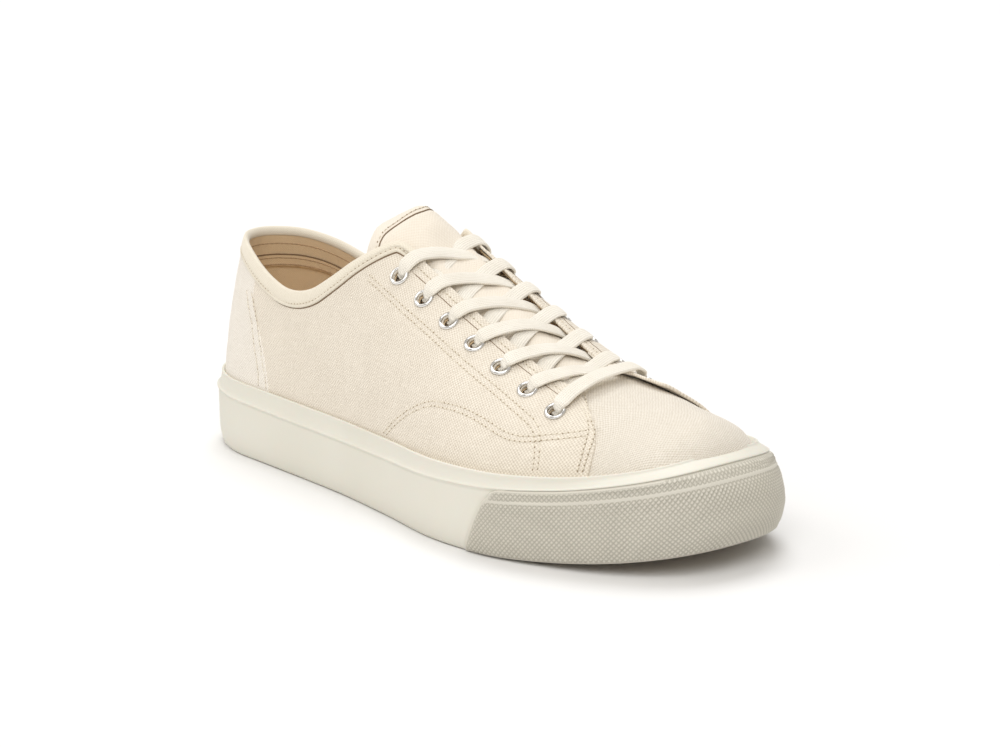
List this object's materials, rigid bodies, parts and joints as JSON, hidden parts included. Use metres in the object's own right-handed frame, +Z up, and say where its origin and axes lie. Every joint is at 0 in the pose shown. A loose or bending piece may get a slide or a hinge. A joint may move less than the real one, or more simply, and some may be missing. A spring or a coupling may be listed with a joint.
{
  "type": "sneaker",
  "caption": "Low canvas sneaker for the right foot: open-collar cloth upper, lace-up throat with metal eyelets, tongue, and a vulcanised rubber sole with a textured toe bumper.",
  "frame": {"origin": "centre of the bounding box, on the floor plane", "axes": "+X to the toe, +Y to the inner (medial) side, +Z up"},
  "size_m": [0.2934, 0.1086, 0.1114],
  "materials": {
    "outsole_rubber": "matt off-white rubber",
    "foxing_rubber": "smooth satin off-white rubber",
    "bumper_rubber": "off-white rubber with a fine raised dot texture",
    "canvas": "plain-woven ecru cotton canvas",
    "insole_cloth": "tan cotton twill",
    "eyelet_metal": "polished nickel",
    "lace_cotton": "flat ribbed cotton lace"
  },
  "bodies": {
    "root": {"outsole": "outsole_rubber", "foxing": "foxing_rubber", "toe_bumper": "bumper_rubber", "upper": "canvas", "tongue": "canvas", "insole": "insole_cloth", "eyelet_outer_1": "eyelet_metal", "eyelet_outer_2": "eyelet_metal", "eyelet_outer_3": "eyelet_metal", "eyelet_outer_4": "eyelet_metal", "eyelet_outer_5": "eyelet_metal", "eyelet_outer_6": "eyelet_metal", "eyelet_outer_7": "eyelet_metal", "eyelet_inner_1": "eyelet_metal", "eyelet_inner_2": "eyelet_metal", "eyelet_inner_3": "eyelet_metal", "eyelet_inner_4": "eyelet_metal", "eyelet_inner_5": "eyelet_metal", "eyelet_inner_6": "eyelet_metal", "eyelet_inner_7": "eyelet_metal", "lace_cross_1": "lace_cotton", "lace_cross_2": "lace_cotton", "lace_cross_3": "lace_cotton", "lace_cross_4": "lace_cotton", "lace_cross_5": "lace_cotton", "lace_cross_6": "lace_cotton", "lace_bar": "lace_cotton"}
  },
  "joints": []
}
